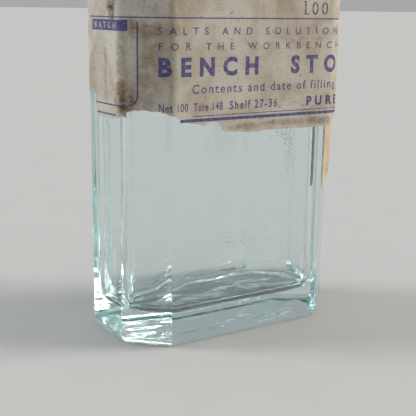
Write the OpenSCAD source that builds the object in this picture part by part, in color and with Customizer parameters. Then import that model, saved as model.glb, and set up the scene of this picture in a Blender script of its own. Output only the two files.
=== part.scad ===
// Flat glass reagent bottle with chamfered corners, a moulded screw cap with a
// cork liner, a torn paper label and a scrap of an older label.
// Millimetres, +Z up. The origin is the middle of the underside of the base,
// and the wide labelled face looks along -Y.

/* [Body] */
// Width of the glass body along X
body_w = 56.6; // [50:0.2:62]
// Depth of the glass body along Y
body_d = 29.9; // [26:0.1:34]
// Length that each 45 degree corner chamfer takes off both faces
corner_cut = 8.0; // [6:0.5:9]
// Thickness of the body's walls
wall_t = 3.0; // [2:0.25:4]
// Height at which the straight walls end and the shoulder starts
shoulder_z = 98; // [90:1:105]

/* [Base] */
// Thickness of the solid glass under the hollow
base_t = 6.5; // [4:0.5:9]
// Height of the small bevel round the lower edge
foot_bevel_h = 2.0; // [1:0.25:3]
// How far that bevel goes in at the bottom
foot_bevel_in = 1.0; // [0.5:0.25:1.5]
// Depth of the shallow recess under the base
underside_recess = 0.6; // [0.3:0.1:1]
// Width of the flat rim that the bottle stands on
standing_rim = 3.2; // [2.5:0.1:4]

/* [Shoulder and neck] */
// Height of the rounded shoulder
shoulder_h = 11.5; // [10:0.5:14]
// Height of the mouth above the underside
mouth_z = 126; // [124:0.5:130]
// Outside radius of the neck
neck_r = 10.75; // [10.5:0.05:11]
// Radius of the pouring bore
bore_r = 8.2; // [7:0.1:8.5]
// How far the ring below the thread stands out of the neck
neck_ring_out = 1.5; // [1:0.1:2]

/* [Thread] */
// Rise of the thread in one turn
thread_pitch = 3.175; // [3:0.025:3.5]
// How far the glass thread stands out of the neck
glass_thread_h = 1.2; // [1:0.05:1.3]
// Turns of thread on the neck
glass_turns = 1.3; // [1:0.1:1.5]
// Turns of thread inside the cap
cap_turns = 1.2; // [1:0.1:1.3]

/* [Cap] */
// Outside radius of the cap between its grip ribs
cap_r = 14.0; // [13.8:0.1:15]
// Thickness of the cap's skirt
cap_wall = 1.7; // [1.5:0.1:1.8]
// Thickness of the cap's top
cap_top = 2.0; // [1.5:0.25:3]
// Number of upright grip ribs round the cap
rib_count = 48; // [36:4:60]
// Radius of one grip rib
rib_r = 0.45; // [0.3:0.05:0.5]

/* [Liner] */
// Thickness of the cork liner
cork_t = 1.7; // [1.2:0.1:2.5]
// Radius of the cork liner
cork_r = 11.9; // [11.5:0.1:12]
// Thickness of the waxed facing under the cork
facing_t = 0.3; // [0.2:0.1:0.4]

/* [Label] */
// Thickness of the label
label_t = 0.3; // [0.2:0.05:0.4]
// Height of the label's top edge
label_top_z = 95; // [90:1:97]
// Height of the lowest point of its torn bottom edge
label_low_z = 46; // [44:1:50]
// How far the unglued right end stands past the corner before it bends back
flap_run = 1.4; // [1:0.1:2]
// Length of the bent part of that unglued end
flap_len = 2.8; // [2:0.1:4]
// Angle at which the bent part turns back towards the glass
flap_turn = 23.5; // [15:0.5:35]
// Angle at which the older scrap's far half stands off the glass
scrap_turn = 10; // [4:1:15]

/* [Hidden] */

$fn = 64;
eps = 0.01;
// A plain sliver that a hull uses as one of its cross sections
slab = 0.1;

half_w = body_w / 2;
half_d = body_d / 2;
face_half = half_w - corner_cut;
side_half = half_d - corner_cut;
cut_len = corner_cut * sqrt(2);

shoulder_top_z = shoulder_z + shoulder_h;
cavity_corner_r = corner_cut + wall_t / 2;

glass_thread_mid_z = mouth_z - 5.6;
glass_thread_start = 200;
ring_z = mouth_z - 11.6;
ring_h = 1.8;

cap_bore_r = cap_r - cap_wall;
cap_thread_h = 1.1;
cap_bottom_z = ring_z + ring_h / 2 + 0.5;
cap_inner_z = mouth_z + facing_t + cork_t;
cap_top_z = cap_inner_z + cap_top;

thread_root_half = 0.75;
thread_crest_half = 0.35;
thread_steps = 24;
thread_bury = 0.3;
// The cap's ridge lies below the glass ridge by half a pitch, less the drop of a tightened cap
cap_thread_shift = thread_pitch / 2 - 0.25;
// Both ridges have their middles at one angle, so that the shift holds all the way round
cap_thread_start = glass_thread_start + 180 * (glass_turns - cap_turns);

// A rectangle with 45 degree corners, its middle at the origin, pulled in by inset
module chamfered_outline(inset = 0) {
    x = half_w - inset;
    y = half_d - inset;
    // An inset octagon keeps its faces parallel, so its corner cuts get shorter
    c = corner_cut - inset * (2 - sqrt(2));
    polygon([
        [-x + c, -y], [x - c, -y], [x, -y + c], [x, y - c],
        [x - c, y], [-x + c, y], [-x, y - c], [-x, -y + c],
    ]);
}

// A rectangle with round corners, w by d overall
module rounded_outline(w, d, r) {
    square([w - 2 * r, d], center = true);
    square([w, d - 2 * r], center = true);
    for (sx = [-1, 1], sy = [-1, 1])
        translate([sx * (w / 2 - r), sy * (d / 2 - r)])
            circle(r = r);
}

// Points of a trapezoid ridge's cross section at one step along a helix
function ridge_ring(a, z, root, crest, h) = [
    for (p = [[root, -thread_root_half], [crest, -thread_crest_half],
              [crest, thread_crest_half], [root, thread_root_half]])
        let (r = p[0] == root ? root : root + (crest - root) * h)
        [r * cos(a), r * sin(a), z + p[1]]
];

// A right-hand ridge, from radius root to radius crest, that fades out at both ends
module helix_ridge(root, crest, turns, mid_z, start_a) {
    steps = round(turns * thread_steps);
    fade = thread_steps / 8;
    rings = [
        for (i = [0:steps])
            let (h = max(0.3, min(1, i / fade, (steps - i) / fade)))
            ridge_ring(start_a + 360 * turns * i / steps,
                       mid_z + thread_pitch * turns * (i / steps - 0.5), root, crest, h)
    ];
    points = [for (ring = rings) for (p = ring) p];
    // Quads between neighbouring rings are cut in two so that every face is flat
    sides = [
        for (i = [0:steps - 1]) for (k = [0:3])
            let (a = 4 * i + k, b = 4 * i + (k + 1) % 4)
            each [[a, b, b + 4], [a, b + 4, a + 4]]
    ];
    last = 4 * steps;
    caps = [[3, 2, 1, 0], [last, last + 1, last + 2, last + 3]];
    faces = concat(sides, caps);
    // A crest inside its root turns the solid inside out, so its faces are reversed
    polyhedron(points, crest < root ? [for (f = faces) [for (k = [len(f) - 1:-1:0]) f[k]]] : faces);
}

module body_outside() {
    // Foot bevel, straight walls and the rounded shoulder, all convex
    hull() {
        linear_extrude(slab) chamfered_outline(foot_bevel_in);
        translate([0, 0, foot_bevel_h]) linear_extrude(shoulder_z - foot_bevel_h) chamfered_outline();
        translate([0, 0, shoulder_z + 0.35 * shoulder_h]) linear_extrude(slab) chamfered_outline(1.2);
        translate([0, 0, shoulder_z + 0.72 * shoulder_h]) linear_extrude(slab) chamfered_outline(4.6);
        translate([0, 0, shoulder_top_z - slab]) cylinder(h = slab, r = neck_r + 1, $fn = 48);
    }
    cylinder(h = mouth_z, r = neck_r);
    translate([0, 0, ring_z])
        rotate_extrude()
            translate([neck_r - 1, -ring_h / 2])
                square([neck_ring_out + 1, ring_h]);
    helix_ridge(neck_r - thread_bury, neck_r + glass_thread_h, glass_turns, glass_thread_mid_z,
                glass_thread_start);
}

module body_hollow() {
    w = body_w - 2 * wall_t;
    d = body_d - 2 * wall_t;
    // The hollow narrows to less than the bore, so that the bore cuts its way in cleanly
    hull() {
        translate([0, 0, base_t]) linear_extrude(shoulder_z - base_t) rounded_outline(w, d, cavity_corner_r);
        translate([0, 0, shoulder_z + 0.6 * shoulder_h])
            linear_extrude(slab) rounded_outline(w - 14, d - 6, 8);
        translate([0, 0, shoulder_top_z]) cylinder(h = slab, r = bore_r - 1);
    }
    translate([0, 0, shoulder_z]) cylinder(h = mouth_z - shoulder_z + 1, r = bore_r);
}

// Thick glass body with its threaded neck
module bottle_glass() {
    color([0.72, 0.86, 0.85, 0.5])
        difference() {
            body_outside();
            body_hollow();
            translate([0, 0, -eps])
                linear_extrude(underside_recess + eps)
                    rounded_outline(body_w - 2 * (foot_bevel_in + standing_rim),
                                    body_d - 2 * (foot_bevel_in + standing_rim), 7);
        }
}

// Moulded phenolic cap with upright grip ribs and an inside thread
module screw_cap() {
    rib_top_z = cap_top_z - 1.4;
    color([0.10, 0.07, 0.06]) {
        difference() {
            union() {
                translate([0, 0, cap_bottom_z]) cylinder(h = cap_top_z - 0.8 - cap_bottom_z, r = cap_r);
                translate([0, 0, cap_top_z - 0.8]) cylinder(h = 0.8, r1 = cap_r, r2 = cap_r - 0.8);
                translate([0, 0, cap_bottom_z + 0.8])
                    linear_extrude(rib_top_z - cap_bottom_z - 0.8)
                        for (i = [0:rib_count - 1])
                            rotate(i * 360 / rib_count)
                                translate([cap_r - 0.1, 0])
                                    circle(r = rib_r, $fn = 16);
            }
            translate([0, 0, cap_bottom_z - 1]) cylinder(h = cap_inner_z - cap_bottom_z + 1, r = cap_bore_r);
        }
        helix_ridge(cap_bore_r + thread_bury, cap_bore_r - cap_thread_h, cap_turns,
                    glass_thread_mid_z - cap_thread_shift, cap_thread_start);
    }
}

// Pressed cork disc in the top of the cap
module cork_liner() {
    color([0.66, 0.47, 0.29])
        translate([0, 0, mouth_z + facing_t])
            cylinder(h = cork_t, r = cork_r);
}

// Waxed paper disc that closes the mouth
module liner_facing() {
    color([0.86, 0.82, 0.70])
        translate([0, 0, mouth_z])
            cylinder(h = facing_t, r = cork_r - 0.2);
}

// One flat panel of paper: its outline is drawn in the face's own width and height,
// and it stands on the face that looks along the azimuth turn, at distance out
module paper_panel(turn, out, t) {
    rotate([0, 0, turn])
        translate([0, -out, 0])
            rotate([90, 0, 0])
                linear_extrude(t)
                    children();
}

// Printed label: left side face, near-left corner, front face and an unglued right end
module label() {
    diagonal = (half_w + half_d - corner_cut) / sqrt(2);
    // Panels run on by this much, so that their outer edges meet at the corners
    lap = label_t * tan(22.5);
    // The middle of a corner face lies this far along it from its own normal
    corner_mid = (half_w - half_d) / sqrt(2);
    color([0.78, 0.72, 0.63]) {
        paper_panel(0, half_d, label_t)
            polygon([
                [-face_half - lap, label_top_z], [face_half + flap_run, label_top_z],
                [face_half + flap_run, label_low_z], [4, label_low_z + 0.3],
                [-7.8, label_low_z + 0.8], [-9, label_low_z + 2.8],
                [-15.8, label_low_z + 2.7], [-face_half - lap, label_low_z + 4.4],
            ]);
        translate([face_half + flap_run, -half_d - label_t, 0])
            rotate([0, 0, flap_turn])
                translate([0, label_t, 0])
                    rotate([90, 0, 0])
                        linear_extrude(label_t)
                            polygon([
                                [-0.1, label_top_z], [flap_len, label_top_z],
                                [flap_len, label_low_z + 2.6], [-0.1, label_low_z],
                            ]);
        paper_panel(-45, diagonal, label_t)
            translate([-corner_mid, 0])
                polygon([
                    [-cut_len / 2 - lap, label_top_z], [cut_len / 2 + lap, label_top_z],
                    [cut_len / 2 + lap, label_low_z + 4.4], [1, label_low_z + 5.4],
                    [-cut_len / 2 - lap, label_low_z + 4],
                ]);
        paper_panel(-90, half_w, label_t)
            polygon([
                [-side_half - lap, label_top_z], [side_half + lap, label_top_z],
                [side_half + lap, label_low_z + 4], [-3.2, label_low_z + 3.8],
                [-3.6, label_low_z + 8], [-side_half - lap, label_low_z + 8],
            ]);
        paper_panel(-135, diagonal, label_t)
            translate([corner_mid, 0])
                polygon([
                    [cut_len / 2 + lap, label_top_z], [-1.5, label_top_z],
                    [-0.5, label_top_z - 14], [-2.5, label_low_z + 22],
                    [1, label_low_z + 12], [cut_len / 2 + lap, label_low_z + 8],
                ]);
    }
}

// What is left of an older label on the near-right corner, half under the newer one's loose end.
// Its near half is still gummed down, and its far half stands off the glass
module old_label_scrap() {
    diagonal = (half_w + half_d - corner_cut) / sqrt(2);
    corner_mid = (half_w - half_d) / sqrt(2);
    color([0.76, 0.66, 0.50]) {
        paper_panel(45, diagonal, label_t)
            translate([corner_mid, 0])
                polygon([
                    [-3, label_low_z + 9], [-1, label_low_z + 7], [0, label_low_z + 8],
                    [0, label_low_z - 14.2], [-2.8, label_low_z - 14.8], [-2.6, label_low_z - 6],
                ]);
        rotate([0, 0, 45])
            translate([corner_mid, -diagonal, 0])
                rotate([0, 0, -scrap_turn])
                    paper_panel(0, 0, label_t)
                        polygon([
                            [0, label_low_z + 8], [2.5, label_low_z + 10], [5.2, label_low_z + 6],
                            [5, label_low_z - 9], [4.2, label_low_z - 12], [0, label_low_z - 14.2],
                        ]);
    }
}

bottle_glass();
screw_cap();
cork_liner();
liner_facing();
label();
old_label_scrap();
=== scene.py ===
"""Looks of the flat chamfered reagent bottle: tinted glass, torn printed label, phenolic screw cap."""

import math
import random

import bmesh
import bpy
from mathutils import Matrix, Vector, noise


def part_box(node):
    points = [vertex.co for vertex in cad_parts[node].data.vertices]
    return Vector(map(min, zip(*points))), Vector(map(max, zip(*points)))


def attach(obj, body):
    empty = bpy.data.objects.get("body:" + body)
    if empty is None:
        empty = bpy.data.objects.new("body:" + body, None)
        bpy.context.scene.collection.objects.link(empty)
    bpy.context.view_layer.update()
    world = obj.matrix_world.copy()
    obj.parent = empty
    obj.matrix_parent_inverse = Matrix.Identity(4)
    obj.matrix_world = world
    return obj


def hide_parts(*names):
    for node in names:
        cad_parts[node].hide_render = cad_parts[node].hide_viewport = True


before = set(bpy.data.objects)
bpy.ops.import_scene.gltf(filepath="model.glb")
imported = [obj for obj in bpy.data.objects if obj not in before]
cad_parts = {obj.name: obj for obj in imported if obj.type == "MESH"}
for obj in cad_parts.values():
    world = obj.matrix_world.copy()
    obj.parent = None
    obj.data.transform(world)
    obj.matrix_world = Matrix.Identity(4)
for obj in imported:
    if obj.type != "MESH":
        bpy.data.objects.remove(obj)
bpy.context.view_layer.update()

MM = 0.001

# Bottle body. The mould opens towards the shoulder, so the walls lean out a little.
glass_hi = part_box("bottle_glass")[1]
LEAN = 0.0027
SHOULDER_Z = 98 * MM
SHOULDER_H = 11.2 * MM
# The walls wave in and out a little, so their middle lies just inside the widest place
WAVE_ROOM = 0.05 * MM
FOOT_HALF_W = glass_hi.x - LEAN * SHOULDER_Z - WAVE_ROOM
FOOT_HALF_D = glass_hi.y - LEAN * SHOULDER_Z - WAVE_ROOM
CORNER_CUT = 8.0 * MM
EDGE_ROUND = 0.55 * MM
WALL = 2.9 * MM
FLOOR_Z = 6.6 * MM
FLOOR_ROUND = 3.2 * MM
HOLLOW_ROUND = 7.5 * MM
RIM_INSET = 4.2 * MM
RECESS = 0.6 * MM
# The underside and the hollow's floor both close in a narrow slit along the middle, this far in from the edge
SLIT_INSET = FOOT_HALF_D - 0.8 * MM
# An inset octagon keeps its faces parallel, so each corner cut shortens by this share of the inset
CUT_SHARE = 2 - math.sqrt(2)

# Neck and its thread
MOUTH_Z = glass_hi.z
NECK_R = 10.75 * MM
BORE_R = 8.2 * MM
LIP_R = (BORE_R + NECK_R) / 2
NECK_RING_Z = MOUTH_Z - 11.6 * MM
NECK_RING_OUT = 1.5 * MM
PITCH = 3.175 * MM
THREAD_MID_Z = MOUTH_Z - 5.6 * MM
GLASS_THREAD = {
    "mid": THREAD_MID_Z,
    "turns": 1.3,
    "start": math.radians(200),
    "height": 1.2 * MM,
}
# It starts where it does so that the middles of both ridges lie at one angle, half a pitch apart in height
CAP_THREAD = {
    "mid": THREAD_MID_Z - PITCH / 2 + 0.25 * MM,
    "turns": 1.2,
    "start": math.radians(218),
    "height": 1.1 * MM,
}

# Times a place, leaves its distance out from the bottle's axis
LEVEL = Vector((1, 1, 0))

# Points round the body: steps across each of its eight faces, and round each corner
FACE_STEPS = (36, 8, 12, 8, 36, 8, 12, 8)
CORNER_STEPS = 5


def srgb(code):
    """Turns an sRGB hex colour into the linear colour that a shader takes."""
    channels = [int(code[i:i + 2], 16) / 255 for i in (1, 3, 5)]
    return tuple(c / 12.92 if c <= 0.04045 else ((c + 0.055) / 1.055) ** 2.4 for c in channels) + (1.0,)


def add(tree, kind, inputs=None, **settings):
    """Adds a node, applies its settings, and fills its inputs with values or with other nodes' outputs."""
    made = tree.nodes.new(kind)
    for name, value in settings.items():
        setattr(made, name, value)
    for key, value in (inputs or {}).items():
        if isinstance(value, bpy.types.NodeSocket):
            tree.links.new(value, made.inputs[key])
        else:
            made.inputs[key].default_value = value
    return made


def soft_patches(tree, vector, scale, low, high, least=0.0, most=1.0, **noise_inputs):
    """Noise as soft patches: least where it is under low, most where it is over high."""
    clouds = add(tree, "ShaderNodeTexNoise", {"Vector": vector, "Scale": scale, **noise_inputs})
    patches = add(tree, "ShaderNodeMapRange", {
        "Value": clouds.outputs["Fac"], "From Min": low, "From Max": high, "To Min": least, "To Max": most,
    })
    return patches.outputs["Result"]


def distance_out(tree, place):
    """The distance of a place from the bottle's axis."""
    level = add(tree, "ShaderNodeVectorMath", {0: place, 1: LEVEL}, operation="MULTIPLY")
    radius = add(tree, "ShaderNodeVectorMath", {0: level.outputs[0]}, operation="LENGTH")
    return radius.outputs["Value"]


def start_material(name):
    """An empty node material and its tree."""
    material = bpy.data.materials.new(name)
    material.use_nodes = True
    material.node_tree.nodes.clear()
    return material, material.node_tree


def finish_piece(bm, name, material, body, replaces=(), sharp=None):
    """Makes the object of a finished mesh, shades it smooth, hangs it on its body, and hides the parts that it
    takes the place of.
    """
    mesh = bpy.data.meshes.new(name)
    bm.to_mesh(mesh)
    bm.free()
    mesh.shade_smooth()
    if sharp is not None:
        mesh.set_sharp_from_angle(angle=math.radians(sharp))
    mesh.materials.append(material)
    piece = bpy.data.objects.new(name, mesh)
    bpy.context.scene.collection.objects.link(piece)
    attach(piece, body)
    if replaces:
        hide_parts(*replaces)
    return piece


def grow(bm, ring, points):
    """Extrudes a closed ring of vertices and moves the new ring onto the given points."""
    edges = [bm.edges.get((ring[i - 1], ring[i])) for i in range(len(ring))]
    extruded = bmesh.ops.extrude_edge_only(bm, edges=edges)["geom"]
    made = {g for g in extruded if isinstance(g, bmesh.types.BMVert)}
    grown = [next(e.other_vert(v) for e in v.link_edges if e.other_vert(v) in made) for v in ring]
    for vert, point in zip(grown, points):
        vert.co = point
    return grown


def loft(rings):
    """A closed skin through rings of points, with a flat face over its first and its last ring."""
    bm = bmesh.new()
    ring = bmesh.ops.create_circle(bm, segments=len(rings[0]), radius=1.0, cap_ends=False)["verts"]
    for vert, point in zip(ring, rings[0]):
        vert.co = point
    first = ring
    for points in rings[1:]:
        ring = grow(bm, ring, points)
    bmesh.ops.contextual_create(bm, geom=first)
    bmesh.ops.contextual_create(bm, geom=ring)
    bmesh.ops.recalc_face_normals(bm, faces=bm.faces)
    return bm


def circle(r, z, count, start=0.0):
    """Points round a level circle."""
    return [
        Vector((r * math.cos(start + math.tau * i / count), r * math.sin(start + math.tau * i / count), z))
        for i in range(count)
    ]


def arc(centre, r, start, end, steps):
    """Radius and height pairs along an arc, with its angles in degrees."""
    angles = [math.radians(start + (end - start) * i / steps) for i in range(steps + 1)]
    return [(centre[0] + r * math.cos(a), centre[1] + r * math.sin(a)) for a in angles]


def thread_height(thread, angle, z):
    """How far a right-hand thread's ridge stands out at an angle and a height."""
    root_half, crest_half = 0.75 * MM, 0.35 * MM
    # Each end of a ridge rises to its full height over a tenth of a turn
    end_slope = 10
    turns = thread["turns"]
    first = ((angle - thread["start"]) / math.tau) % 1.0
    best = 0.0
    for whole in range(2):
        along = (first + whole) / turns
        if along > 1:
            continue
        off = abs(z - thread["mid"] - PITCH * turns * (along - 0.5))
        rise = min(1.0, max(0.0, (root_half - off) / (root_half - crest_half)))
        fade = min(1.0, along * turns * end_slope, (1 - along) * turns * end_slope)
        best = max(best, thread["height"] * fade * rise * rise * (3 - 2 * rise))
    return best


# ---------------------------------------------------------------- glass body


def plan(half_w, half_d, cut, round_r):
    """Points of the chamfered plan with rounded corners, anticlockwise from the front face's left end."""
    x, y = half_w, half_d
    # Far in, the octagon all but loses its corner cuts, and its corners can't be rounder than they allow
    cut = max(cut, 0.25 * MM)
    round_r = min(round_r, 1.6 * cut)
    corners = [
        Vector(c)
        for c in (
            (-x + cut, -y), (x - cut, -y), (x, -y + cut), (x, y - cut),
            (x - cut, y), (-x + cut, y), (-x, y - cut), (-x, -y + cut),
        )
    ]
    eighth = math.radians(45)
    arcs = []
    for i, corner in enumerate(corners):
        inward = (corners[i - 1] - corner).normalized() + (corners[(i + 1) % 8] - corner).normalized()
        centre = corner + inward.normalized() * round_r / math.cos(eighth / 2)
        first = math.atan2(-inward.y, -inward.x) - eighth / 2
        arcs.append([
            centre + round_r * Vector((math.cos(a), math.sin(a)))
            for a in (first + eighth * k / CORNER_STEPS for k in range(CORNER_STEPS + 1))
        ])
    points = []
    for i, steps in enumerate(FACE_STEPS):
        points += arcs[i]
        start, end = arcs[i][-1], arcs[(i + 1) % 8][0]
        # Steps crowd towards the corners, which keeps the faces' shading flat
        points += [start.lerp(end, (1 - math.cos(math.pi * k / steps)) / 2) for k in range(1, steps)]
    return points


def body_ring(z, inset, round_r, wave=0.0, wave_mm=14.0, side=0.0):
    """One level of the body, pulled in by inset, with the slow waves that pressed glass cools with."""
    half_w = FOOT_HALF_W + LEAN * min(z, SHOULDER_Z) - inset
    half_d = FOOT_HALF_D + LEAN * min(z, SHOULDER_Z) - inset
    flat = plan(half_w, half_d, CORNER_CUT - inset * CUT_SHARE, round_r)
    ring = []
    for i, p in enumerate(flat):
        along = flat[(i + 1) % len(flat)] - flat[i - 1]
        out = Vector((along.y, -along.x)).normalized()
        place = Vector((p.x, p.y, z * 0.45 + side)) / (wave_mm * MM)
        push = wave * (noise.noise(place) + 0.35 * noise.noise(place * 2.7))
        ring.append(Vector((p.x + out.x * push, p.y + out.y * push, z)))
    return ring


def towards_round(ring, r, share, z):
    """A level part of the way from a body ring to a circle of radius r."""
    stretch = FOOT_HALF_W / FOOT_HALF_D
    made = []
    for p in ring:
        angle = math.atan2(p.y * math.sqrt(stretch), p.x)
        target = Vector((r * math.cos(angle), r * math.sin(angle), z))
        made.append(Vector((p.x, p.y, z)).lerp(target, share))
    return made


def turned(profile, like, thread=None):
    """Round levels that keep the angles of the ring before them, with a thread where one is given."""
    rings = []
    for r, z in profile:
        ring = []
        for p in like:
            angle = math.atan2(p.y, p.x)
            reach = r + (thread_height(thread, angle, z) if thread else 0.0)
            ring.append(Vector((reach * math.cos(angle), reach * math.sin(angle), z)))
        rings.append(ring)
    return rings


def outside_rings():
    """From the middle of the underside up over the foot, walls, shoulder, neck ring and thread to the lip."""
    rings = []
    recess_rings = 14
    for k in range(recess_rings + 1):
        inset = SLIT_INSET + (RIM_INSET + 0.9 * MM - SLIT_INSET) * k / recess_rings
        ring = body_ring(RECESS, inset, 0.6 * MM)
        # The underside is rippled where the glass chilled on the mould's floor
        for p in ring:
            p.z += 0.3 * MM * noise.noise(Vector((p.x * 0.3, p.y * 1.4, 9 * MM)) / (2.4 * MM))
        rings.append(ring)
    foot = ((0.45, 0.3), (0.12, 0.0), (0.0, -0.35), (0.0, -2.6), (0.06, -2.95), (0.22, -3.12))
    rings += [body_ring(z * MM, RIM_INSET + i * MM, EDGE_ROUND) for z, i in foot]
    bevel = ((1.0, 0.58), (1.75, 0.14), (2.0, 0.04), (2.4, 0.0))
    rings += [body_ring(z * MM, i * MM, EDGE_ROUND) for z, i in bevel]
    levels = 26
    for k in range(levels + 1):
        z = 4 * MM + (SHOULDER_Z - 4 * MM) * k / levels
        rings.append(body_ring(z, 0.03 * MM, EDGE_ROUND, wave=0.035 * MM))
    top = rings[-1]
    fillet = 1.5 * MM
    shoulder_r = NECK_R + fillet
    for k in range(1, 13):
        a = math.radians(90 * k / 12)
        rings.append(towards_round(top, shoulder_r, 1 - math.cos(a), SHOULDER_Z + SHOULDER_H * math.sin(a)))
    round_ring = rings[-1]
    top_z = SHOULDER_Z + SHOULDER_H
    profile = arc((shoulder_r, top_z + fillet), fillet, 262, 180, 6)
    profile.append((NECK_R, NECK_RING_Z - 1.3 * MM))
    ring_half_h = 0.9 * MM
    profile += [
        (NECK_R + NECK_RING_OUT * math.cos(a), NECK_RING_Z + ring_half_h * math.sin(a))
        for a in (math.radians(-84 + 168 * k / 10) for k in range(11))
    ]
    rings += turned(profile, round_ring)
    low, high = NECK_RING_Z + 1.1 * MM, MOUTH_Z - 1.0 * MM
    steps = 40
    finish = [(NECK_R, low + (high - low) * k / steps) for k in range(steps + 1)]
    rings += turned(finish, round_ring, GLASS_THREAD)
    lip = 0.8 * MM
    rings += turned(arc((NECK_R - lip, MOUTH_Z - lip), lip, 0, 90, 6), round_ring)
    rings += turned(arc((BORE_R + lip, MOUTH_Z - lip), lip, 90, 180, 6), round_ring)
    return rings


def inside_rings(like):
    """From the lip down the bore, under the shoulder, down the walls and in across the domed floor."""
    bore_low = SHOULDER_Z + SHOULDER_H - 1.0 * MM
    bore = [(BORE_R, z) for z in (MOUTH_Z - 2 * MM, MOUTH_Z - 9 * MM, bore_low + 1 * MM)]
    rings = turned(bore, like)
    hollow_top = body_ring(SHOULDER_Z, WALL, HOLLOW_ROUND)
    height = bore_low - SHOULDER_Z
    for k in range(9, -1, -1):
        a = math.radians(90 * k / 10)
        z = SHOULDER_Z + height * math.sin(a)
        rings.append(towards_round(hollow_top, BORE_R + 0.9 * MM, 1 - math.cos(a), z))
    levels = 34
    low = FLOOR_Z + FLOOR_ROUND
    for k in range(1, levels + 1):
        z = SHOULDER_Z + (low - SHOULDER_Z) * k / levels
        rings.append(body_ring(z, WALL, HOLLOW_ROUND, wave=0.17 * MM, wave_mm=11, side=0.4))
    for k in range(1, 8):
        a = math.radians(90 * k / 7)
        inset = WALL + FLOOR_ROUND * (1 - math.cos(a))
        rings.append(floor_ring(inset, FLOOR_Z + FLOOR_ROUND * (1 - math.sin(a))))
    first = WALL + FLOOR_ROUND
    floor_rings = 20
    for k in range(1, floor_rings + 1):
        rings.append(floor_ring(first + (SLIT_INSET - first) * k / floor_rings, FLOOR_Z))
    return rings


def floor_ring(inset, z):
    """One ring of the hollow's floor, which rises in the middle and is rippled where the glass chilled."""
    reach = (inset - WALL) / (FOOT_HALF_D - WALL)
    ring = body_ring(z, inset, HOLLOW_ROUND - 0.67 * (inset - WALL))
    for p in ring:
        broad = noise.noise(Vector((p.x * 0.35, p.y * 1.6, 0.2 * MM)) / (4 * MM))
        fine = noise.noise(Vector((p.x * 0.5, p.y * 1.5, 5 * MM)) / (1.7 * MM))
        p.z += 0.8 * MM * reach * reach + (0.3 * broad + 0.11 * fine) * MM * min(1, reach * 2)
    return ring


def seeds(bm, rng):
    """Small gas bubbles shut in the walls and then in the base, their faces towards the gas."""
    places = []
    for _ in range(16):
        x = rng.uniform(-19, 19) * MM
        y = rng.choice((-1, 1)) * (FOOT_HALF_D - WALL * rng.uniform(0.4, 0.6))
        places.append((x, y, rng.uniform(8, 95) * MM))
    for _ in range(6):
        places.append((rng.uniform(-22, 22) * MM, rng.uniform(-8, 8) * MM, rng.uniform(2, 4.5) * MM))
    for x, y, z in places:
        r = rng.uniform(0.07, 0.19) * MM
        shape = Matrix.Translation((x, y, z)) @ Matrix.Diagonal((r, r * 0.8, r * rng.uniform(1.1, 2.2), 1))
        ball = bmesh.ops.create_icosphere(bm, subdivisions=2, radius=1.0, matrix=shape)
        faces = list({f for v in ball["verts"] for f in v.link_faces})
        bmesh.ops.reverse_faces(bm, faces=faces)


def aqua_glass():
    """Pressed soda-lime glass: clear face on, sea green along its edges from traces of iron, hazed."""
    material, tree = start_material("pressed_soda_lime_glass")
    where = add(tree, "ShaderNodeTexCoord")
    # Cords and chill waves run across the mould, so they are drawn out along X
    drawn = add(tree, "ShaderNodeMapping", {"Vector": where.outputs["Object"], "Scale": (0.35, 1.0, 1.3)})
    cords = add(tree, "ShaderNodeTexNoise", {
        "Vector": drawn.outputs["Vector"], "Scale": 1 / (3.5 * MM), "Detail": 3.0, "Roughness": 0.5,
        "Distortion": 0.8,
    })
    bump = add(tree, "ShaderNodeBump", {
        "Height": cords.outputs["Fac"], "Strength": 0.12, "Distance": 0.12 * MM,
    })
    haze = soft_patches(tree, where.outputs["Object"], 1 / (9 * MM), 0.45, 0.8, 0.012, 0.09,
                        Detail=6.0, Roughness=0.65)
    glass = add(tree, "ShaderNodeBsdfPrincipled", {
        "Base Color": srgb("#F7FCFC"), "Roughness": haze, "IOR": 1.52,
        "Transmission Weight": 1.0, "Normal": bump.outputs["Normal"],
    })
    tint = add(tree, "ShaderNodeVolumeAbsorption", {"Color": srgb("#C3ECEA"), "Density": 13.5})
    add(tree, "ShaderNodeOutputMaterial", {
        "Surface": glass.outputs["BSDF"], "Volume": tint.outputs["Volume"],
    })
    return material


def build_glass():
    """The whole glass: one closed skin outside and in, with its seeds."""
    outside = outside_rings()
    bm = loft(outside + inside_rings(outside[-1]))
    bmesh.ops.triangulate(bm, faces=[f for f in bm.faces if len(f.verts) > 4])
    seeds(bm, random.Random(7))
    return finish_piece(bm, "bottle_glass_skin", aqua_glass(), "bottle", ("bottle_glass",))


# ---------------------------------------------------------------- paper

# All in millimetres. The label's middle height, its top, and the lowest point of its torn foot
PAPER_MID_Z = 70.0
PAPER_TOP = 95
PAPER_FOOT = 46
# Lengths along the label, whose zero is the near-left corner, where the front face begins
FRONT_LEN = 2 * (FOOT_HALF_W + LEAN * PAPER_MID_Z * MM - CORNER_CUT) / MM
CUT_LEN = CORNER_CUT * math.sqrt(2) / MM
SIDE_LEN = 2 * (FOOT_HALF_D + LEAN * PAPER_MID_Z * MM - CORNER_CUT) / MM
# The loose end lies flat this far past the front face, then bends by FLAP_TURN degrees and stands off
FLAP_RUN = 1.4
FLAP_TURN = 23.5
BEND_RUN = 1.2
# The gap behind the paper, its whole thickness, and the part of that which is the printed face
PAPER_BACK = 0.02
PAPER_T = 0.13
FACE_T = 0.05
FIBRE = 0.35
CUT_STEP = 0.8
# How much paper one unit of its UV map stands for
UV_UNIT = 10
LABEL_CREAM = "#C9BFB0"
LABEL_BROWN = "#6E4F36"
# Height of the built-in typeface's capitals, as a share of the type's size
CAPITAL_SHARE = 0.73


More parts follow.
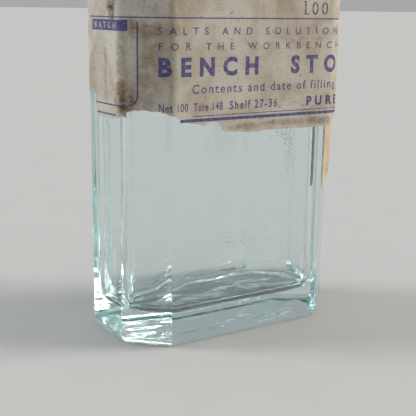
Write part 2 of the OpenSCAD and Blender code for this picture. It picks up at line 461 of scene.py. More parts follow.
def paper_bends():
    """Where the label bends along its length, by how many degrees, and over what distance."""
    return (
        (-CUT_LEN - SIDE_LEN, 45, BEND_RUN),
        (-CUT_LEN, 45, BEND_RUN),
        (0.0, 45, BEND_RUN),
        (FRONT_LEN + FLAP_RUN, FLAP_TURN, 1.0),
    )


def paper_route(step=0.1, first=-40.0, last=48.0):
    """Points and headings along the label's path round the glass, at its middle height."""
    count = round((last - first) / step)
    headings = []
    for k in range(count + 1):
        s = first + k * step
        heading = -135.0
        for at, turn, width in paper_bends():
            share = min(1.0, max(0.0, (s - at) / width + 0.5))
            heading += turn * share
        headings.append(math.radians(heading))
    points = [Vector((0, 0))]
    for k in range(count):
        a = (headings[k] + headings[k + 1]) / 2
        points.append(points[-1] + step * Vector((math.cos(a), math.sin(a))))
    # The middle of the front face lies on the glass
    mid = round((FRONT_LEN / 2 - first) / step)
    shift = Vector((0, -(FOOT_HALF_D + LEAN * PAPER_MID_Z * MM) / MM)) - points[mid]
    return [p + shift for p in points], headings, first, step


ROUTE = paper_route()


def on_glass(s, z, lift):
    """The place of a point of paper, s along the label and z up it, that is lift off the glass, all in mm."""
    points, headings, first, step = ROUTE
    k = (s - first) / step
    i = min(max(int(k), 0), len(points) - 2)
    p = points[i].lerp(points[i + 1], k - i)
    a = headings[i] + (headings[i + 1] - headings[i]) * (k - i)
    off = lift + LEAN * (z - PAPER_MID_Z)
    return Vector((p.x + math.sin(a) * off, p.y - math.cos(a) * off, z)) * MM


def ragged(points, rough, rng, step=0.45):
    """Breaks an outline's sides into short steps and tears each by a small random amount."""
    made = []
    for i, (x, y, amount) in enumerate(points):
        nx, ny, _ = points[(i + 1) % len(points)]
        length = math.hypot(nx - x, ny - y)
        count = max(1, round(length / step))
        across = Vector((ny - y, x - nx)) / length
        for k in range(count):
            t = k / count
            slow = noise.noise(Vector((x + (nx - x) * t, y + (ny - y) * t, 3.7)) * 0.8)
            push = amount * rough * (slow + rng.uniform(-0.45, 0.45))
            made.append(Vector((x + (nx - x) * t, y + (ny - y) * t)) + across * push)
    return made


def flat_face(bm, outline):
    """A flat face with the given outline, in the sheet's own millimetres."""
    return bm.faces.new([bm.verts.new((p.x, p.y, 0)) for p in outline])


def cut_across(bm, axis, step, low, high):
    """Cuts a flat sheet along evenly spaced lines, so that it can bend."""
    normal = Vector((1, 0, 0)) if axis == 0 else Vector((0, 1, 0))
    # The cuts are moved a little off the round numbers that outlines and rules lie on
    off = 0.013
    for k in range(math.ceil(low / step), math.floor(high / step) + 1):
        geom = bm.verts[:] + bm.edges[:] + bm.faces[:]
        bmesh.ops.bisect_plane(bm, geom=geom, plane_co=normal * (k * step + off), plane_no=normal, dist=1e-5)


def sheet_uv(bm):
    """Keeps the flat sheet's place, in tens of millimetres, as its UV map."""
    layer = bm.loops.layers.uv.new("sheet")
    for face in bm.faces:
        for loop in face.loops:
            loop[layer].uv = (loop.vert.co.x / UV_UNIT, loop.vert.co.y / UV_UNIT)


def label_lift(s, z):
    """How far the label stands off the glass: cockled all over, curling out along its torn foot."""
    cockle = 0.03 + 0.03 * noise.noise(Vector((s * 0.22, z * 0.12, 1.5)))
    foot = max(0.0, 1 - (z - PAPER_FOOT) / 3.2)
    curl = 0.10 * foot * foot * (0.6 + 0.4 * noise.noise(Vector((s * 0.35, 2.2, 0.4))))
    return cockle + curl


def label_outline(rng, rough):
    """The label's edge. The third number says how raggedly the side that starts there is torn."""
    right = FRONT_LEN + FLAP_RUN + 2.8
    side_back = -CUT_LEN - SIDE_LEN
    points = (
        (side_back - 7.4, PAPER_TOP, 0.15), (right, PAPER_TOP, 0.35),
        (right - 0.15, 76, 0.4), (right + 0.1, 62, 0.4), (right, 49.4, 0.8), (right - 0.9, 47.4, 0.9),
        (FRONT_LEN + 1.4, 46.1, 0.5), (33.5, 46.1, 0.6), (24, 46.3, 0.6), (21.8, 46.0, 0.5),
        (13.2, 46.5, 0.8), (11.9, 47.6, 0.6), (11.2, 48.7, 0.7), (9.6, 48.9, 0.6), (8.0, 48.3, 0.9),
        (4.3, 48.7, 0.8), (2.7, 49.7, 0.7), (0, 50.4, 0.5), (-2.0, 51.2, 0.5), (-6.8, 51.5, 0.6),
        (-9.6, 51.0, 0.5), (-11.6, 49.7, 0.5), (-15.8, 49.2, 0.6), (-21.2, 49.6, 0.5), (-21.6, 54.2, 0.4),
        (side_back, 54.1, 0.5), (side_back - 4, 57.5, 0.9), (side_back - 8.2, 62, 1.0),
        (side_back - 6.3, 68, 0.9), (side_back - 8.7, 80, 0.8),
    )
    return ragged(points, rough, rng)


def paper_colours(tree, cream, brown, marks):
    """Aged paper: cream clouded with brown foxing, and at each given mark a stain or a patch of painted shade.
    Returns colour and UV.
    """
    uv = add(tree, "ShaderNodeUVMap", uv_map="sheet")
    cloud = soft_patches(tree, uv.outputs["UV"], 1.1, 0.42, 0.72, 0.0, 0.75,
                         Detail=7.0, Roughness=0.62, Distortion=0.6)
    colour = add(tree, "ShaderNodeMix", {0: cloud, 6: srgb(cream), 7: srgb("#927C62")}, data_type="RGBA")
    # Grime lies in the felted surface, in grains drawn coarser than real dust so that they show
    grime = soft_patches(tree, uv.outputs["UV"], 26.0, 0.45, 0.75, 0.0, 0.55, Detail=6.0, Roughness=0.75)
    colour = add(tree, "ShaderNodeMix", {0: grime, 6: colour.outputs[2], 7: srgb("#6F6050")},
                 data_type="RGBA")
    # Foxing spots are about a millimetre across
    spots = soft_patches(tree, uv.outputs["UV"], 7.5, 0.63, 0.74, 0.0, 0.55, Detail=3.0, Roughness=0.55)
    colour = add(tree, "ShaderNodeMix", {0: spots, 6: colour.outputs[2], 7: srgb(brown)}, data_type="RGBA")
    # Damp dries in patches, so a stain breaks up into blotches of a millimetre or so, and painted shade given
    # among the marks breaks up the same way
    blotches = soft_patches(tree, uv.outputs["UV"], 8.0, 0.38, 0.6, 0.3, 1.0, Detail=7.0, Roughness=0.72)
    for s, z, wide, high, strength, tone in marks:
        local = add(tree, "ShaderNodeMapping", {
            "Vector": uv.outputs["UV"], "Location": (-s / wide, -z / high, 0),
            "Scale": (UV_UNIT / wide, UV_UNIT / high, 1),
        })
        wobble = add(tree, "ShaderNodeTexNoise", {"Vector": uv.outputs["UV"], "Scale": 4.0, "Detail": 5.0})
        pushed = add(tree, "ShaderNodeVectorMath", {0: wobble.outputs["Color"], 1: (0.5, 0.5, 0.5)},
                     operation="SUBTRACT")
        pushed = add(tree, "ShaderNodeVectorMath", {
            0: pushed.outputs[0], 1: (1.6, 1.6, 0), 2: local.outputs[0],
        }, operation="MULTIPLY_ADD")
        reach = add(tree, "ShaderNodeVectorMath", {0: pushed.outputs[0]}, operation="LENGTH")
        mask = add(tree, "ShaderNodeMapRange", {
            "Value": reach.outputs["Value"], "From Min": 0.45, "From Max": 1.25,
            "To Min": strength, "To Max": 0.0,
        })
        mask = add(tree, "ShaderNodeMath", {0: mask.outputs["Result"], 1: blotches}, operation="MULTIPLY")
        colour = add(tree, "ShaderNodeMix", {0: mask.outputs[0], 6: colour.outputs[2], 7: srgb(tone)},
                     data_type="RGBA")
    return colour.outputs[2], uv.outputs["UV"]


# Place, half width, half height, strength and tone of each mark on the label: stains, and patches of painted
# shade
LABEL_STAINS_AND_SHADE = (
    (-9.8, 53.2, 2.6, 3.6, 0.95, "#5A4026"),
    (-10.6, 60.5, 1.4, 9.0, 0.5, "#6B4E30"),
    # A very dark patch high on the side face, close to the chamfer's edge
    (-13.8, 71.8, 1.9, 3.4, 1.0, "#3A2B22"),
    (-4.5, 67.6, 5.5, 1.8, 0.5, "#6E4A30"),
    (-8.6, 68.0, 1.6, 2.2, 0.6, "#4E3424"),
    (-16.8, 60.0, 0.9, 7.0, 0.4, "#6B5238"),
    (-22.6, 58.0, 1.8, 6.0, 0.35, "#8A7050"),
    # Painted shade: a narrow dark band down the edge where the chamfer meets the front face
    (0.2, 60.0, 0.9, 14.0, 0.35, "#8A7356"),
    (36.5, 63.5, 3.4, 2.6, 0.38, "#A07A50"),
    (38.4, 66.4, 2.4, 1.2, 0.42, "#96704A"),
    (27.5, 74.0, 2.6, 1.2, 0.4, "#9C7A54"),
    (29.0, 47.6, 6.5, 0.8, 0.6, "#6A4C36"),
    (38.8, 47.6, 3.6, 1.0, 0.8, "#5F4230"),
    (18.5, 47.4, 4.2, 0.8, 0.7, "#6F543E"),
    # Painted shade: a broad darker patch over the whole chamfer face, standing in for the shade that falls on
    # it
    (-4.2, 60.5, 3.9, 15.0, 0.5, "#75604C"),
    (24.0, 88.0, 9.0, 3.0, 0.3, "#A88D66"),
    (6.0, 80.0, 4.0, 6.0, 0.25, "#A88D66"),
)


def surface_of(tree, colour, uv, rough, gloss, glow=0.0):
    """A matt felted surface in the given colour. Glow is how freely light comes through from behind."""
    # The fibres are drawn coarser than real ones, which are a few hundredths of a millimetre, so that they show
    fibres = add(tree, "ShaderNodeTexNoise", {
        "Vector": uv, "Scale": UV_UNIT / FIBRE, "Detail": 4.0, "Roughness": 0.7,
    })
    bump = add(tree, "ShaderNodeBump", {
        "Height": fibres.outputs["Fac"], "Strength": 0.35, "Distance": 0.05 * MM,
    })
    paper = add(tree, "ShaderNodeBsdfPrincipled", {
        "Base Color": colour, "Roughness": rough, "Specular IOR Level": gloss, "Normal": bump.outputs["Normal"],
        "Subsurface Weight": glow, "Subsurface Radius": (1.0, 0.8, 0.55), "Subsurface Scale": 0.4 * MM,
    })
    add(tree, "ShaderNodeOutputMaterial", {"Surface": paper.outputs["BSDF"]})


def label_paper():
    """Machine-made label paper, gummed and aged: matt cream with brown stains and fuzzy torn edges."""
    material, tree = start_material("aged_label_paper")
    colour, uv = paper_colours(tree, LABEL_CREAM, LABEL_BROWN, LABEL_STAINS_AND_SHADE)
    surface_of(tree, colour, uv, 0.88, 0.25, glow=0.6)
    return material


def label_ink():
    """Violet-blue letterpress ink, faded and rubbed away to the paper in places."""
    material, tree = start_material("faded_letterpress_ink")
    paper, uv = paper_colours(tree, LABEL_CREAM, LABEL_BROWN, LABEL_STAINS_AND_SHADE)
    wear = soft_patches(tree, uv, 11.0, 0.48, 0.8, 0.05, 0.65, Detail=6.0, Roughness=0.7)
    ink = add(tree, "ShaderNodeMix", {0: wear, 6: srgb("#38386F"), 7: paper}, data_type="RGBA")
    surface_of(tree, ink.outputs[2], uv, 0.7, 0.3)
    return material


def typed_ink():
    """Carbon from a typewriter ribbon: grey-black, uneven where the type struck lightly."""
    material, tree = start_material("typewriter_carbon")
    paper, uv = paper_colours(tree, LABEL_CREAM, LABEL_BROWN, LABEL_STAINS_AND_SHADE)
    wear = soft_patches(tree, uv, 16.0, 0.4, 0.7, 0.05, 0.6, Detail=4.0)
    ink = add(tree, "ShaderNodeMix", {0: wear, 6: srgb("#2E2A2A"), 7: paper}, data_type="RGBA")
    surface_of(tree, ink.outputs[2], uv, 0.75, 0.25)
    return material


def sheet(outline, near, thick):
    """A torn sheet bent round the glass: near is the distance of its back from the glass, in mm."""
    bm = bmesh.new()
    flat_face(bm, outline)
    xs = [p.x for p in outline]
    cut_across(bm, 0, CUT_STEP, min(xs), max(xs))
    cut_across(bm, 1, 2.0, PAPER_FOOT, PAPER_TOP)
    sheet_uv(bm)
    bmesh.ops.triangulate(bm, faces=[f for f in bm.faces if len(f.verts) > 4])
    for vert in bm.verts:
        s, z = vert.co.x, vert.co.y
        vert.co = on_glass(s, z, near + label_lift(s, z))
    face_out(bm)
    bmesh.ops.solidify(bm, geom=bm.faces[:], thickness=-thick * MM)
    return bm


def face_out(bm):
    """Turns every face of an open sheet away from the bottle's axis."""
    bmesh.ops.recalc_face_normals(bm, faces=bm.faces)
    outward = sum(f.normal.dot(f.calc_center_median() * LEVEL) * f.calc_area() for f in bm.faces)
    if outward < 0:
        bmesh.ops.reverse_faces(bm, faces=bm.faces)


def build_label():
    """The printed label: a face sheet, and the pale core that shows as a fuzzy margin where it is torn."""
    core = sheet(label_outline(random.Random(23), 0.5), PAPER_BACK, PAPER_T - FACE_T)
    material, tree = start_material("torn_paper_core")
    colour, uv = paper_colours(tree, "#D9CDB8", "#8A6A44", LABEL_STAINS_AND_SHADE[:4])
    surface_of(tree, colour, uv, 0.95, 0.15, glow=0.5)
    finish_piece(core, "label_core", material, "bottle", ("label",), sharp=50)
    face = sheet(label_outline(random.Random(11), 0.3), PAPER_BACK + PAPER_T - FACE_T, FACE_T)
    finish_piece(face, "label_face", label_paper(), "bottle", sharp=50)


def bar(bm, s0, s1, z0, z1):
    """A printed bar or rule, flat in the sheet's millimetres."""
    flat_face(bm, [Vector(p) for p in ((s0, z0), (s1, z0), (s1, z1), (s0, z1))])


def box_line(bm, s_left, s_right, z_low, z_high, r, width):
    """The printed box's outline, open at its far end: along its foot, round the corner and up its side."""
    centre = Vector((s_right - r, z_low + r))
    turn = [math.radians(-90 + 90 * k / 8) for k in range(9)]
    outer = [Vector((s_left, z_low))] + [centre + r * Vector((math.cos(a), math.sin(a))) for a in turn]
    outer.append(Vector((s_right, z_high)))
    inner_r = r - width
    inner = [Vector((s_left, z_low + width))]
    inner += [centre + inner_r * Vector((math.cos(a), math.sin(a))) for a in turn]
    inner.append(Vector((s_right - width, z_high)))
    flat_face(bm, outer + inner[::-1])


def set_type(text, spacing, weight):
    """A line of type one unit high as a flat mesh, with its left and right ends."""
    curve = bpy.data.curves.new("type", "FONT")
    curve.body = text
    curve.size = 1.0
    curve.space_character = spacing
    curve.offset = weight
    curve.resolution_u = 3
    setter = bpy.data.objects.new("type", curve)
    bpy.context.scene.collection.objects.link(setter)
    bpy.context.view_layer.update()
    mesh = bpy.data.meshes.new_from_object(setter.evaluated_get(bpy.context.evaluated_depsgraph_get()))
    bpy.data.objects.remove(setter)
    bpy.data.curves.remove(curve)
    xs = [v.co.x for v in mesh.vertices]
    return mesh, min(xs), max(xs)


def print_words(bm, text, s0, s1, base_z, cap_h, narrow, weight):
    """Adds a line of type: its capitals cap_h high, its letters spaced out to fill s0 to s1."""
    high = cap_h / CAPITAL_SHARE
    wide = high * narrow
    trial_spacing = 2.0
    tight, low, end = set_type(text, 1.0, weight)
    loose, loose_low, loose_end = set_type(text, trial_spacing, weight)
    bpy.data.meshes.remove(tight)
    bpy.data.meshes.remove(loose)
    gain = (loose_end - loose_low) - (end - low)
    spacing = 1.0 + (trial_spacing - 1.0) * ((s1 - s0) / wide - (end - low)) / gain
    mesh, low, _ = set_type(text, spacing, weight)
    place = Matrix.Translation((s0, base_z, 0)) @ Matrix.Diagonal((wide, high, 1, 1))
    mesh.transform(place @ Matrix.Translation((-low, 0, 0)))
    bm.from_mesh(mesh)
    bpy.data.meshes.remove(mesh)


def lay_print(bm, name, material, raise_by):
    """Lays flat printing on the label, just proud of the paper, trimmed where the label ends."""
    trim = Vector((FRONT_LEN + FLAP_RUN + 2.55, 0, 0))
    geom = bm.verts[:] + bm.edges[:] + bm.faces[:]
    bmesh.ops.bisect_plane(bm, geom=geom, plane_co=trim, plane_no=(1, 0, 0), clear_outer=True)
    xs = [v.co.x for v in bm.verts]
    bmesh.ops.triangulate(bm, faces=[f for f in bm.faces if len(f.verts) > 4])
    cut_across(bm, 0, CUT_STEP, min(xs), max(xs))
    sheet_uv(bm)
    for vert in bm.verts:
        s, z = vert.co.x, vert.co.y
        vert.co = on_glass(s, z, PAPER_BACK + PAPER_T + label_lift(s, z) + raise_by)
    for face in bm.faces:
        face.normal_update()
    inward = [f for f in bm.faces if f.normal.dot(f.calc_center_median() * LEVEL) < 0]
    bmesh.ops.reverse_faces(bm, faces=inward)
    return finish_piece(bm, name, material, "bottle")


def build_printing():
    """Rules, box, banner and generic wording of the printed label, and the typed quantity."""
    right = FRONT_LEN + FLAP_RUN + 3
    ink = bmesh.new()
    bar(ink, -23.5, right, 69.9, 70.15)
    bar(ink, 1.8, right, 48.95, 49.62)
    bar(ink, 5.0, right, 50.05, 50.22)
    bar(ink, -21.0, -12.4, 49.95, 50.3)
    box_line(ink, -21.4, -7.1, 52.0, 69.2, 2.4, 0.32)
    bar(ink, -22.6, -9.3, 67.3, 69.5)
    # Rows of dashes to write on
    for z in (78, 84.5, 91):
        for k in range(22):
            bar(ink, -6 + k * 2.2, -4.8 + k * 2.2, z, z + 0.2)
    # Words, left and right ends, foot, height of capitals, width and weight of each line of type
    lines = (
        ("SALTS AND SOLUTIONS", -3.0, 46.0, 66.7, 1.55, 1.1, 0.006),
        ("FOR THE WORKBENCH", -2.8, 44.5, 63.65, 1.5, 1.1, 0.006),
        ("BENCH  STOCK", -2.9, 55.0, 58.5, 3.7, 1.0, 0.045),
        ("Contents and date of filling", 4.6, 43.4, 54.8, 1.95, 1.0, 0.008),
        ("Net 100  Tare 148", -2.8, 12.2, 51.2, 1.75, 0.72, 0.012),
        ("Shelf 27-36", 14.0, 26.6, 51.2, 1.85, 0.85, 0.02),
        ("PURE", 34.8, 44.6, 51.1, 2.05, 1.05, 0.045),
    )
    for line in lines:
        print_words(ink, *line)
    ink_raise, banner_raise = 0.018, 0.03
    lay_print(ink, "label_printing", label_ink(), ink_raise)
    banner = bmesh.new()
    print_words(banner, "BATCH", -21.4, -12.0, 67.8, 1.25, 1.15, 0.015)
    lay_print(banner, "label_banner_words", label_paper(), banner_raise)
    typed = bmesh.new()
    print_words(typed, "100", 33.4, 40.0, 70.9, 2.9, 1.0, 0.004)
    # The typewriter's figure one has a foot and a flag, which the built-in typeface leaves out
    for s0, s1, z in ((33.1, 34.6, 70.9), (33.2, 33.9, 73.6)):
        bar(typed, s0, s1, z, z + 0.2)
    lay_print(typed, "label_typing", typed_ink(), ink_raise)


def scrap_lift(s, z):
    """How far the scrap stands off the glass: its near half is gummed down, its far half swings out."""
    free = max(0.0, s - CUT_LEN / 2 + 0.6)
    swing_angle, ease = math.radians(9.5), 0.8
    swing = math.tan(swing_angle) * free * free / (free + ease)
    return 0.03 + swing + 0.05 * noise.noise(Vector((s * 0.5, z * 0.3, 8)))


def build_scrap():
    """The older label's scrap on the near-right corner: brittle tan paper whose far half stands off."""
    # Along the corner's face, up the bottle, and how raggedly the side that starts there is torn
    points = (
        (2.7, 55, 0.8), (2.9, 45, 0.5), (2.6, 40, 0.6), (2.8, 31.3, 0.7), (5.2, 31.6, 0.8), (9.8, 34.0, 0.9),
        (10.6, 37, 0.5), (10.7, 46, 0.6), (10.7, 52, 0.9), (8.1, 55.5, 0.9), (4.6, 53, 0.9),
    )
    along = Vector((1, 1, 0)).normalized()
    out = Vector((1, -1, 0)).normalized()
    layer_t = 0.07
    # Name, seed, roughness of the tear, tone, and distance of the back from the glass
    # The core's pale tone is partly its own and partly painted light: it was made lighter to stand in for light
    # that reaches its back through the glass
    layers = (("old_label_core", 31, 0.42, "#F0E6D0", 0.0), ("old_label_face", 5, 0.3, "#B4A588", 0.08))
    for name, seed, rough, tone, near in layers:
        bm = bmesh.new()
        flat_face(bm, ragged(points, rough, random.Random(seed), 0.35))
        cut_across(bm, 0, 0.7, 2, 11)
        cut_across(bm, 1, 0.9, 31, 56)
        sheet_uv(bm)
        bmesh.ops.triangulate(bm, faces=[f for f in bm.faces if len(f.verts) > 4])
        for vert in bm.verts:
            s, z = vert.co.x, vert.co.y
            half_w = FOOT_HALF_W + LEAN * z * MM - CORNER_CUT
            corner = Vector((half_w, -FOOT_HALF_D - LEAN * z * MM, z * MM))
            vert.co = corner + (along * s + out * (near + scrap_lift(s, z))) * MM
        face_out(bm)
        bmesh.ops.solidify(bm, geom=bm.faces[:], thickness=-layer_t * MM)
        material, tree = start_material("brittle_old_paper" if near else "old_paper_core")
        marks = ((4.0, 42.0, 2.5, 5.0, 0.45, "#86683F"), (9.0, 35.0, 2.5, 3.0, 0.4, "#7A603A"))
        colour, uv = paper_colours(tree, tone, "#8A6234", marks if near else ())
        surface_of(tree, colour, uv, 0.85, 0.25, glow=1.0)
        replaced = () if near else ("old_label_scrap",)
        finish_piece(bm, name, material, "bottle", replaced, sharp=50)


def build_residue():
    """What the last filling left inside the front wall: patches of crust, and specks scattered round them."""
    rng = random.Random(3)
    bm = bmesh.new()
    wall_y = -(FOOT_HALF_D - WALL)
    # Middle, spread and number of specks of each patch. They are coarser than real ones so that they show.
    patches = (
        (11.5, 41.5, 0.7, 3.0, 230),
        (10.4, 44.5, 1.6, 1.2, 120),
        (-2.5, 22.0, 3.2, 1.0, 150),
        (3.0, 30.0, 8, 8, 40),
    )
    for x, z, wide, high, number in patches:
        for _ in range(number):
            r = rng.uniform(0.045, 0.11) * MM
            at = (rng.gauss(x, wide) * MM, wall_y - LEAN * z * MM + 0.02 * MM, rng.gauss(z, high) * MM)
            place = Matrix.Translation(at) @ Matrix.Rotation(rng.uniform(0, math.pi), 4, "Y")
            bmesh.ops.create_icosphere(
                bm, subdivisions=1, radius=1.0,
                matrix=place @ Matrix.Diagonal((r * rng.uniform(0.6, 1.8), r * 0.6, r, 1)),
            )
    material, tree = start_material("dried_salt_crust")
    where = add(tree, "ShaderNodeTexCoord")
    cloud = add(tree, "ShaderNodeTexNoise", {"Vector": where.outputs["Object"], "Scale": 1 / (0.8 * MM)})
    colour = add(tree, "ShaderNodeMix", {0: cloud.outputs["Fac"], 6: srgb("#FFFFFF"), 7: srgb("#E2E6E8")},
                 data_type="RGBA")
    skin = add(tree, "ShaderNodeBsdfPrincipled", {"Base Color": colour.outputs[2], "Roughness": 0.7})
    add(tree, "ShaderNodeOutputMaterial", {"Surface": skin.outputs["BSDF"]})
    return finish_piece(bm, "dried_residue", material, "bottle")


# ---------------------------------------------------------------- closure

cap_lo, cap_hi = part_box("screw_cap")
cork_lo, cork_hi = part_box("cork_liner")
facing_lo, facing_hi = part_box("liner_facing")
RIB_COUNT = 48
RIB_POINTS = 8
RIB_OUT = 0.35 * MM
CAP_R = cap_hi.x - RIB_OUT
CAP_BORE_R = CAP_R - 1.7 * MM


def ribbed(r, z, share):
    """A level of the cap's skirt, with its upright ribs at a share of their full height."""
    ring = []
    count = RIB_COUNT * RIB_POINTS
    for i in range(count):
        a = math.tau * i / count
        wave = max(0.0, math.cos(a * RIB_COUNT) + 0.15) / 1.15
        reach = r + RIB_OUT * share * math.sqrt(wave)
        ring.append(Vector((reach * math.cos(a), reach * math.sin(a), z)))
    return ring


def phenolic():
    """Compression-moulded phenolic: black-brown, glossy from the mould, dulled by handling and dust."""
    material, tree = start_material("moulded_phenolic")
    where = add(tree, "ShaderNodeTexCoord")
    flow = soft_patches(tree, where.outputs["Object"], 1 / (5 * MM), 0.4, 0.75, Detail=5.0, Distortion=1.2)
    colour = add(tree, "ShaderNodeMix", {0: flow, 6: srgb("#17110F"), 7: srgb("#33211A")}, data_type="RGBA")
    # Dust stays in the grooves between the ribs, which lie nearer the axis than the ribs do
    radius = distance_out(tree, where.outputs["Object"])
    groove = add(tree, "ShaderNodeMapRange", {
        "Value": radius, "From Min": CAP_R - 0.05 * MM, "From Max": CAP_R + 0.2 * MM,
        "To Min": 1.0, "To Max": 0.0,
    })
    outer = add(tree, "ShaderNodeMath", {0: radius, 1: CAP_R - 0.3 * MM}, operation="GREATER_THAN")
    patchy = soft_patches(tree, where.outputs["Object"], 1 / (1.6 * MM), 0.42, 0.7, Detail=6.0)
    dust = add(tree, "ShaderNodeMath", {0: groove.outputs["Result"], 1: outer.outputs[0]}, operation="MULTIPLY")
    dust = add(tree, "ShaderNodeMath", {0: dust.outputs[0], 1: patchy}, operation="MULTIPLY")
    dust = add(tree, "ShaderNodeMath", {0: dust.outputs[0], 1: 0.22}, operation="MULTIPLY")
    colour = add(tree, "ShaderNodeMix", {0: dust.outputs[0], 6: colour.outputs[2], 7: srgb("#8C8274")},
                 data_type="RGBA")
    scuffs = add(tree, "ShaderNodeTexNoise", {
        "Vector": where.outputs["Object"], "Scale": 1 / (0.7 * MM), "Detail": 8.0, "Roughness": 0.75,
    })
    rough = add(tree, "ShaderNodeMapRange", {
        "Value": scuffs.outputs["Fac"], "From Min": 0.35, "From Max": 0.75, "To Min": 0.14, "To Max": 0.42,
    })
    bump = add(tree, "ShaderNodeBump", {
        "Height": scuffs.outputs["Fac"], "Strength": 0.08, "Distance": 0.04 * MM,
    })
    skin = add(tree, "ShaderNodeBsdfPrincipled", {
        "Base Color": colour.outputs[2], "Roughness": rough.outputs["Result"], "IOR": 1.6,
        "Normal": bump.outputs["Normal"],
    })
    add(tree, "ShaderNodeOutputMaterial", {"Surface": skin.outputs["BSDF"]})
    return material


def build_cap():
    """The screw cap: ribbed skirt, softened top with a shallow dished panel, and the thread inside."""
    low, high = cap_lo.z, cap_hi.z
    inner_z = cork_hi.z
    count = RIB_COUNT * RIB_POINTS
    dish = ((0.3, 0.42), (5.0, 0.40), (9.4, 0.32), (10.0, 0.28), (10.35, 0.06), (10.8, 0.0), (11.6, 0.0))
    rings = [circle(r * MM, high - drop * MM, count) for r, drop in dish]
    soft = 1.3 * MM
    rings += [circle(r, z, count) for r, z in arc((CAP_R - soft, high - soft), soft, 90, 0, 8)]
    rib_top, rib_low = high - 1.5 * MM, low + 0.9 * MM
    for drop, share in ((0.0, 0.0), (0.25, 0.55), (0.6, 0.9), (1.0, 1.0)):
        rings.append(ribbed(CAP_R, rib_top - drop * MM, share))
    for rise, share in ((0.7, 1.0), (0.35, 0.8), (0.0, 0.0)):
        rings.append(ribbed(CAP_R, rib_low + rise * MM, share))
    edge = 0.4 * MM
    rings += [circle(r, z, count) for r, z in arc((CAP_R - edge, low + edge), edge, 0, -90, 4)]
    rings += [circle(r, z, count) for r, z in arc((CAP_BORE_R + edge, low + edge), edge, -90, -180, 4)]
    steps = 44
    z0, z1 = low + 0.5 * MM, inner_z - 0.3 * MM
    for k in range(steps + 1):
        z = z0 + (z1 - z0) * k / steps
        ring = circle(CAP_BORE_R, z, count)
        for p in ring:
            angle = math.atan2(p.y, p.x)
            reach = CAP_BORE_R - thread_height(CAP_THREAD, angle, z)
            p.x, p.y = reach * math.cos(angle), reach * math.sin(angle)
        rings.append(ring)
    rings += [circle(r, z, count) for r, z in arc((CAP_BORE_R - 0.3 * MM, z1), 0.3 * MM, 15, 90, 4)]
    rings.append(circle(4 * MM, inner_z, count))
    bm = loft(rings)
    return finish_piece(bm, "screw_cap_moulding", phenolic(), "cap", ("screw_cap",), sharp=40)


def pressed_cork():
    """Agglomerated cork: tan granules of about a millimetre with dark bark between them, dry and matt."""
    material, tree = start_material("pressed_cork")
    where = add(tree, "ShaderNodeTexCoord")
    grains = add(tree, "ShaderNodeTexVoronoi", {"Vector": where.outputs["Object"], "Scale": 1 / (1.1 * MM)})
    shade = add(tree, "ShaderNodeSeparateColor", {"Color": grains.outputs["Color"]})
    colour = add(tree, "ShaderNodeMix", {0: shade.outputs[0], 6: srgb("#B98A56"), 7: srgb("#8E6238")},
                 data_type="RGBA")
    seam = add(tree, "ShaderNodeMapRange", {
        "Value": grains.outputs["Distance"], "From Min": 0.45, "From Max": 0.75, "To Min": 0.0, "To Max": 0.8,
    })
    colour = add(tree, "ShaderNodeMix", {0: seam.outputs["Result"], 6: colour.outputs[2], 7: srgb("#4A2F1B")},
                 data_type="RGBA")
    bump = add(tree, "ShaderNodeBump", {
        "Height": grains.outputs["Distance"], "Strength": 0.5, "Distance": -0.15 * MM,
    })
    skin = add(tree, "ShaderNodeBsdfPrincipled", {
        "Base Color": colour.outputs[2], "Roughness": 0.9, "Specular IOR Level": 0.2,
        "Normal": bump.outputs["Normal"],
    })
    add(tree, "ShaderNodeOutputMaterial", {"Surface": skin.outputs["BSDF"]})
    return material


def waxed_paper():
    """Waxed kraft facing: yellowish, faintly glossy, with the darker ring that the lip pressed into it."""
    material, tree = start_material("waxed_facing_paper")
    where = add(tree, "ShaderNodeTexCoord")
    radius = distance_out(tree, where.outputs["Object"])
    off = add(tree, "ShaderNodeMath", {0: radius, 1: LIP_R}, operation="SUBTRACT")
    off = add(tree, "ShaderNodeMath", {0: off.outputs[0]}, operation="ABSOLUTE")
    ring = add(tree, "ShaderNodeMapRange", {
        "Value": off.outputs[0], "From Min": 0.6 * MM, "From Max": 1.2 * MM, "To Min": 0.55, "To Max": 0.0,
    })
    clouds = add(tree, "ShaderNodeTexNoise", {
        "Vector": where.outputs["Object"], "Scale": 1 / (4 * MM), "Detail": 6.0,
    })
    colour = add(tree, "ShaderNodeMix", {0: clouds.outputs["Fac"], 6: srgb("#DCCFA6"), 7: srgb("#C4AE7C")},
                 data_type="RGBA")
    colour = add(tree, "ShaderNodeMix", {0: ring.outputs["Result"], 6: colour.outputs[2], 7: srgb("#8F7444")},
                 data_type="RGBA")
    skin = add(tree, "ShaderNodeBsdfPrincipled", {"Base Color": colour.outputs[2], "Roughness": 0.38})
    add(tree, "ShaderNodeOutputMaterial", {"Surface": skin.outputs["BSDF"]})
    return material


def disc(r, low, high, edge, press=None):
    """A flat disc with softened edges. Press is the radius, half width and depth of a ring pressed into it."""
    count = 96
    middle_r = 0.4 * MM
    under = [(middle_r, low)]
    if press:
        mid, half, deep = press
        under += [(mid - half * 1.3, low), (mid - half * 0.7, low + deep), (mid + half * 0.7, low + deep)]
        under.append((mid + half * 1.3, low))
    profile = under + arc((r - edge, low + edge), edge, -90, 0, 4)
    profile += arc((r - edge, high - edge), edge, 0, 90, 4) + [(middle_r, high)]
    return loft([circle(pr, z, count) for pr, z in profile])


def build_liner():
    """The cork disc and the waxed facing that closes the mouth."""
    cork = disc(cork_hi.x, cork_lo.z, cork_hi.z, 0.25 * MM)
    finish_piece(cork, "cork_liner_disc", pressed_cork(), "liner", ("cork_liner",), sharp=50)
    facing = disc(facing_hi.x, facing_lo.z, facing_hi.z, 0.08 * MM,
                  (LIP_R, 1.0 * MM, 0.06 * MM))
    finish_piece(facing, "liner_facing_disc", waxed_paper(), "liner", ("liner_facing",),
                 sharp=50)


# ---------------------------------------------------------------- studio


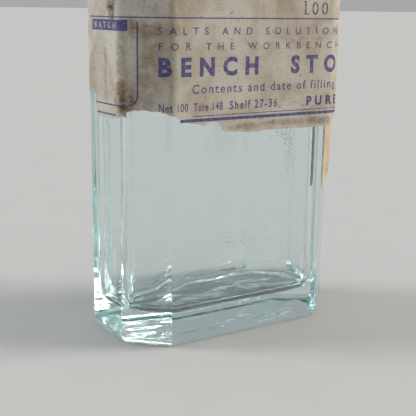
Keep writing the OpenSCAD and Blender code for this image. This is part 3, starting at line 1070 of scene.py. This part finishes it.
def make_camera():
    """A short telephoto close to the bottle's near-left corner, looking slightly down at its lower half."""
    azimuth, elevation, roll = math.radians(33.3), math.radians(12.8), math.radians(0.8)
    distance, aim_x, aim_z = 207.6 * MM, -1.26 * MM, 26.1 * MM
    level = math.cos(elevation)
    back = Vector((-math.sin(azimuth) * level, -math.cos(azimuth) * level, math.sin(elevation)))
    right = Vector((math.cos(azimuth), -math.sin(azimuth), 0))
    up = back.cross(right)
    place = right * aim_x + Vector((0, 0, aim_z)) + back * distance
    rolled_right = right * math.cos(roll) + up * math.sin(roll)
    rolled_up = up * math.cos(roll) - right * math.sin(roll)
    lens = bpy.data.cameras.new("camera")
    lens.sensor_width = 36.0
    lens.lens = 76.3
    lens.clip_start = 0.01
    camera = bpy.data.objects.new("camera", lens)
    axes = Matrix((rolled_right, rolled_up, back)).transposed().to_4x4()
    camera.matrix_world = Matrix.Translation(place) @ axes
    bpy.context.scene.collection.objects.link(camera)
    bpy.context.scene.camera = camera


def soft_light(name, azimuth, elevation, spread, strength, colour):
    """A wide soft light from far off, so that the floor under it is evenly lit."""
    a, e = math.radians(azimuth), math.radians(elevation)
    towards = Vector((math.sin(a) * math.cos(e), -math.cos(a) * math.cos(e), math.sin(e)))
    light = bpy.data.lights.new(name, "SUN")
    light.energy = strength
    light.angle = math.radians(spread)
    light.color = srgb(colour)[:3]
    lamp = bpy.data.objects.new(name, light)
    lamp.rotation_mode = "QUATERNION"
    lamp.rotation_quaternion = towards.to_track_quat("Z", "Y")
    bpy.context.scene.collection.objects.link(lamp)


def make_studio():
    """A pale matt floor, two broad soft lights that rake the faces, and a weak one overhead."""
    bm = bmesh.new()
    # The floor lies a hair under the foot, because two faces in one plane flicker
    half_size, under = 30.0, Matrix.Translation((0, 0, -0.03 * MM))
    bmesh.ops.create_grid(bm, x_segments=8, y_segments=8, size=half_size, matrix=under)
    mesh = bpy.data.meshes.new("floor")
    bm.to_mesh(mesh)
    bm.free()
    material, tree = start_material("pale_floor")
    where = add(tree, "ShaderNodeTexCoord")
    grain = add(tree, "ShaderNodeTexNoise", {
        "Vector": where.outputs["Object"], "Scale": 60.0, "Detail": 4.0,
    })
    tone = add(tree, "ShaderNodeMix", {0: grain.outputs["Fac"], 6: srgb("#B2B2B0"), 7: srgb("#B7B7B5")},
               data_type="RGBA")
    skin = add(tree, "ShaderNodeBsdfPrincipled", {
        "Base Color": tone.outputs[2], "Roughness": 0.95, "Specular IOR Level": 0.1,
    })
    add(tree, "ShaderNodeOutputMaterial", {"Surface": skin.outputs["BSDF"]})
    mesh.materials.append(material)
    floor = bpy.data.objects.new("floor", mesh)
    bpy.context.scene.collection.objects.link(floor)
    soft_light("key", azimuth=62, elevation=24, spread=26, strength=3.0, colour="#FFF8F0")
    soft_light("fill", azimuth=-125, elevation=24, spread=26, strength=2.2, colour="#F2F8FF")
    soft_light("ceiling", azimuth=0, elevation=88, spread=70, strength=0.6, colour="#FFFFFF")
    world = bpy.data.worlds.new("studio_air")
    world.use_nodes = True
    air = world.node_tree.nodes["Background"].inputs
    air["Color"].default_value = srgb("#D8DADC")
    air["Strength"].default_value = 0.56
    bpy.context.scene.world = world
    scene = bpy.context.scene
    scene.view_settings.view_transform = "Standard"
    # Light that enters a thick glass wall edge on is turned back many times before it comes out
    scene.cycles.max_bounces = 48
    scene.cycles.transmission_bounces = 48
    scene.cycles.glossy_bounces = 32


make_camera()
make_studio()
build_glass()
build_label()
build_printing()
build_scrap()
build_residue()
build_cap()
build_liner()
